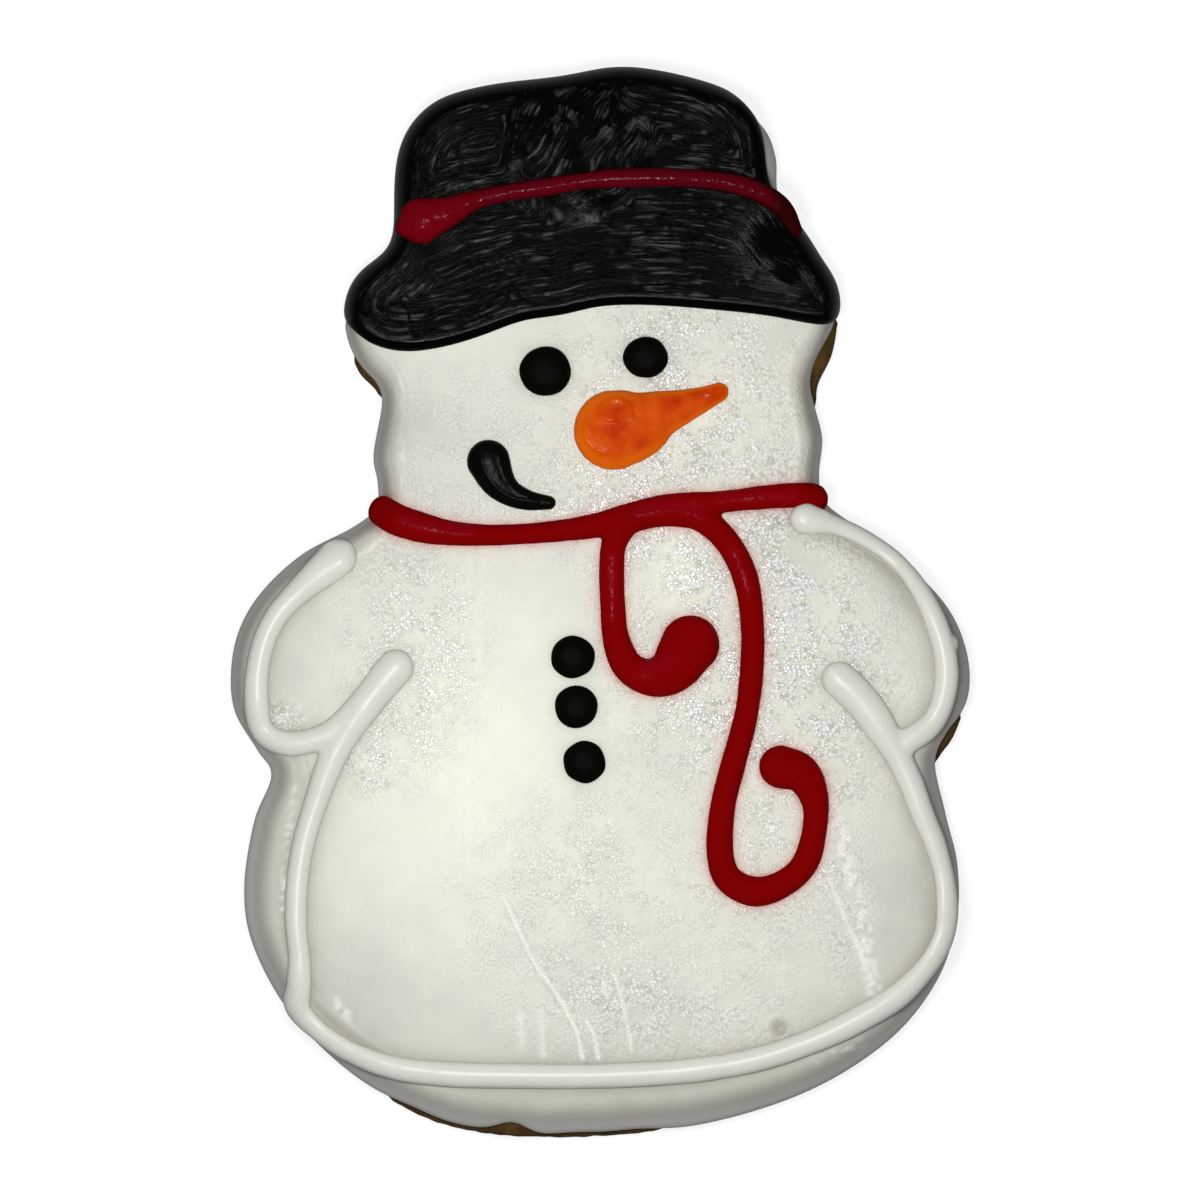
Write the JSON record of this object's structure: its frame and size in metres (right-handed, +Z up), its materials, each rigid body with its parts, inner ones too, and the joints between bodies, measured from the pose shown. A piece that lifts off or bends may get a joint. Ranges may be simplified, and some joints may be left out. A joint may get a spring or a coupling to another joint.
{
  "type": "iced sugar cookie",
  "caption": "Thick snowman-shaped sugar cookie under white poured icing, with a brushed black icing hat and piped scarf, face, buttons and outlines.",
  "frame": {"origin": "middle of the underside of the cookie as it lies flat, centred under the whole outline", "axes": "+Z up, out of the iced face; +Y along the snowman towards the top of its hat, the longest side; +X to the right as the face is seen"},
  "size_m": [0.0896, 0.13, 0.0148],
  "materials": {
    "baked_dough": "dry baked dough, golden brown, darker underneath",
    "white_icing": "poured icing, creamy white, semi-gloss with a fine sugar grain",
    "black_icing": "brushed black icing with streaks",
    "red_icing": "glossy deep red gel icing",
    "white_piping": "glossy piped icing, creamy white",
    "black_piping": "satin black piped icing",
    "orange_icing": "glossy translucent orange gel icing"
  },
  "bodies": {
    "root": {"dough": "baked_dough", "white_icing": "white_icing", "hat_icing": "black_icing", "hat_band": "red_icing", "scarf": "red_icing", "white_piping": "white_piping", "mouth": "black_piping", "nose": "orange_icing", "left_eye": "black_piping", "right_eye": "black_piping", "button_top": "black_piping", "button_middle": "black_piping", "button_bottom": "black_piping"}
  },
  "joints": []
}
